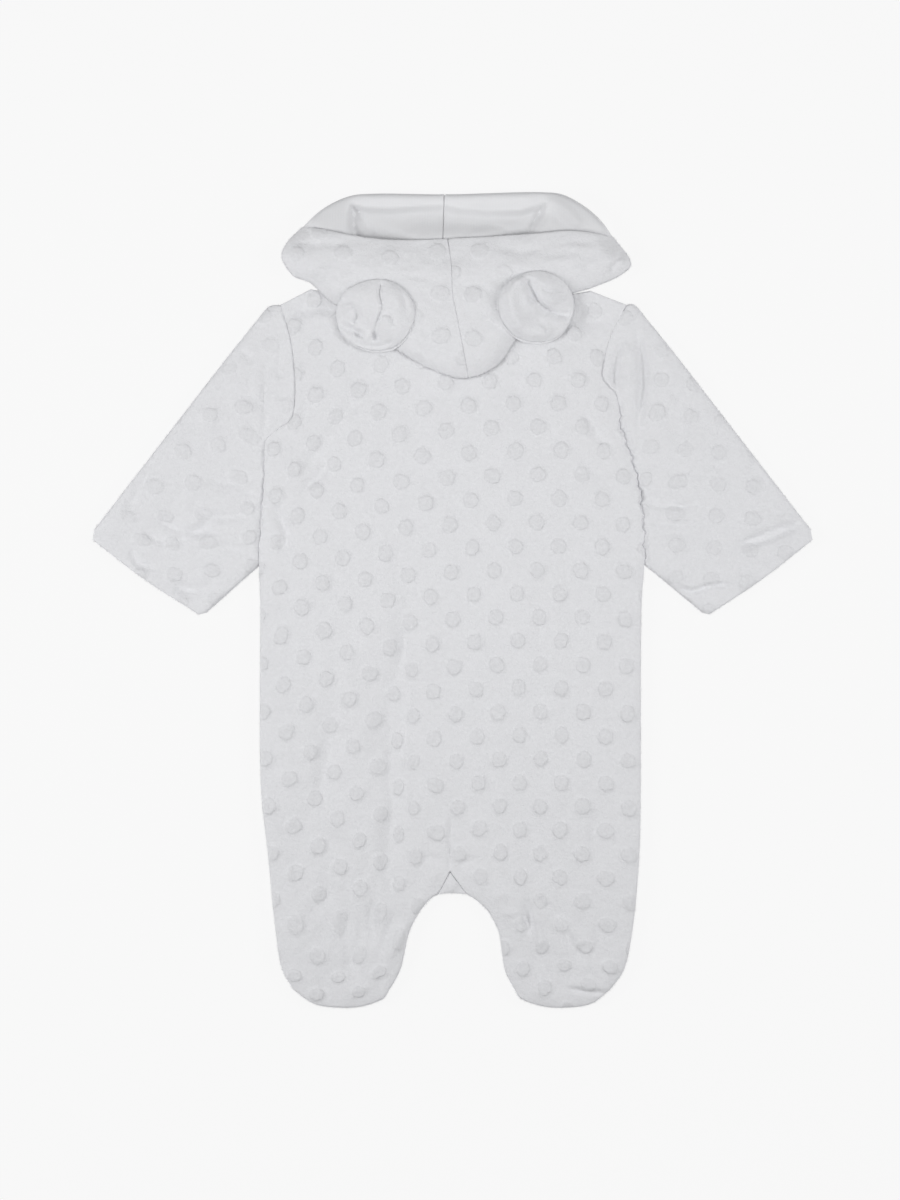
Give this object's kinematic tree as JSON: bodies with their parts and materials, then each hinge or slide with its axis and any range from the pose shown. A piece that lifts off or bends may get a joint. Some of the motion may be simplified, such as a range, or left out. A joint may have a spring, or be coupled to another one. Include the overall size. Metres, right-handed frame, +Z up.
{
  "type": "hooded sleepsuit",
  "caption": "Baby's footed sleepsuit in raised-dot plush, laid flat face down, with long sleeves and a lined hood with round ears folded back over the shoulders.",
  "frame": {"origin": "middle of the footprint, on the surface the garment lies on", "axes": "+Z up away from the surface, towards the back of the garment; +Y along the body from the feet to the hood; +X towards the wearer's right sleeve"},
  "size_m": [0.481, 0.5452, 0.0293],
  "materials": {
    "plush": "short soft white plush with raised round dots, very low contrast",
    "lining": "smooth white brushed jersey",
    "zip_tape": "flat white woven tape with a closed coil"
  },
  "bodies": {
    "root": {"back_panel": "plush", "crotch_gusset": "plush", "front_left": "plush", "front_right": "plush", "front_zip": "zip_tape", "sleeve_left": "plush", "sleeve_right": "plush", "hood_left": "plush", "hood_right": "plush", "hood_lining_left": "lining", "hood_lining_right": "lining", "ear_left_back": "plush", "ear_left_front": "plush", "ear_right_back": "plush", "ear_right_front": "plush"}
  },
  "joints": []
}
